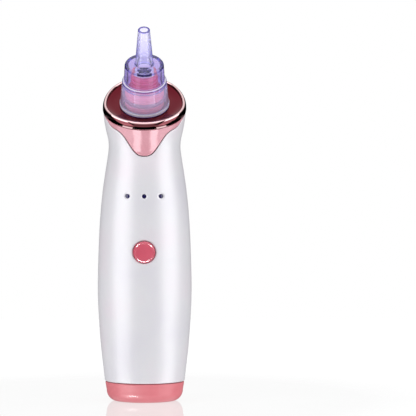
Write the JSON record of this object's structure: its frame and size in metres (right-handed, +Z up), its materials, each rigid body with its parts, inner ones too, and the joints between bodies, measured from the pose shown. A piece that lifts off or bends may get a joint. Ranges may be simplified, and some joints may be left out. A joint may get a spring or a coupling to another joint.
{
  "type": "blackhead vacuum extractor",
  "caption": "Handheld pore vacuum with a waisted pearl handle, thumb button, sloping mirror deck and a clear push-on suction head with a long tube.",
  "frame": {"origin": "centre of the flat resting face under the bottom cap, which is also the centre of the charging pocket's mouth", "axes": "+Z up the handle, -Y is the front with the button, lamps and down-sloping deck, +X is the right side seen from behind"},
  "size_m": [0.0422, 0.0432, 0.1693],
  "materials": {
    "shell_pearl": "pearl white gloss",
    "rose_metal": "rose gold metallic lacquer, satin",
    "rose_chrome": "rose gold plating, mirror",
    "wine_mirror": "wine red mirror plating",
    "coral_gloss": "coral gloss",
    "pink_gloss": "pink gloss",
    "clear_violet": "transparent blue-violet gloss",
    "post_pink": "pink gloss",
    "seal_rubber": "soft translucent silicone",
    "filter_foam": "white open-cell foam",
    "grille_plated": "bright silver plating",
    "lamp_navy": "dark blue clear lens",
    "chip_epoxy": "black epoxy",
    "led_ceramic": "yellowish LED chip",
    "board_green": "green solder mask",
    "steel": "bright zinc plated",
    "nickel": "nickel strip",
    "cell_wrap": "blue shrink wrap over steel can",
    "ferrite": "sintered ferrite",
    "core_steel": "laminated steel",
    "copper": "enamelled copper wire",
    "bronze": "sintered bronze",
    "nylon_white": "moulded nylon",
    "nylon_black": "moulded nylon",
    "membrane_rubber": "black rubber",
    "hose_silicone": "milky silicone tube",
    "lead_red": "red insulation",
    "lead_blue": "blue insulation",
    "frame_grey": "grey moulded ABS"
  },
  "bodies": {
    "handle": {"front_shell": "shell_pearl", "rear_shell": "shell_pearl", "top_collar": "rose_metal", "trim_ring": "rose_chrome", "deck_plate": "wine_mirror", "bottom_cap": "pink_gloss", "port_insert": "nylon_black", "suction_post": "post_pink", "head_seal": "seal_rubber", "filter_sponge": "filter_foam", "filter_grille": "grille_plated", "post_gasket": "seal_rubber", "post_nut": "nylon_white", "switch_body": "chip_epoxy", "lamp_lenses": "lamp_navy", "lamp_chips": "led_ceramic", "main_board": "board_green", "board_chips": "chip_epoxy", "board_screws": "steel", "charge_board": "board_green", "charge_board_screws": "steel", "socket_shell": "nickel", "socket_tongue": "nylon_black", "battery_cell": "cell_wrap", "battery_tabs": "nickel", "motor_can": "steel", "motor_end_cap": "nylon_black", "motor_magnets": "ferrite", "motor_bushes": "bronze", "motor_brushes": "bronze", "motor_terminals": "nickel", "motor_screws": "steel", "pump_base": "nylon_black", "membrane": "membrane_rubber", "valve_plate": "nylon_black", "valve_flaps": "membrane_rubber", "pump_cover": "nylon_black", "pump_screws": "steel", "suction_hose": "hose_silicone", "inner_frame": "frame_grey", "cap_screws": "steel", "motor_leads": "lead_red", "battery_leads": "lead_blue", "charge_leads": "lead_red"},
    "suction_head": {"suction_head": "clear_violet"},
    "power_button": {"power_button": "coral_gloss", "switch_plunger": "nylon_black"},
    "rotor": {"rotor_shaft": "steel", "rotor_core": "core_steel", "rotor_windings": "copper", "commutator": "copper", "crank": "nylon_white", "drive_pin": "steel"},
    "wobble_plate": {"wobble_plate": "nylon_white"}
  },
  "joints": [
    {"name": "head_pull", "type": "slide", "parent": "handle", "child": "suction_head", "axis": [0, -0.5299, 0.848], "range_m": [0, 0.032]},
    {"name": "button_press", "type": "slide", "parent": "handle", "child": "power_button", "axis": [0, 1, 0], "range_m": [0, 0.0005], "stiffness_N_per_m": 1500},
    {"name": "motor_spin", "type": "hinge", "parent": "handle", "child": "rotor", "pos_m": [0, 0.002, 0.075], "axis": [0, 0, 1], "continuous": true},
    {"name": "wobble_turn", "type": "hinge", "parent": "rotor", "child": "wobble_plate", "pos_m": [0, 0.002, 0.103], "axis": [-0.0872, 0, 0.9962], "continuous": true}
  ],
  "couplings": [
    {"joint": "wobble_turn", "follows": "motor_spin", "ratio": -1}
  ]
}
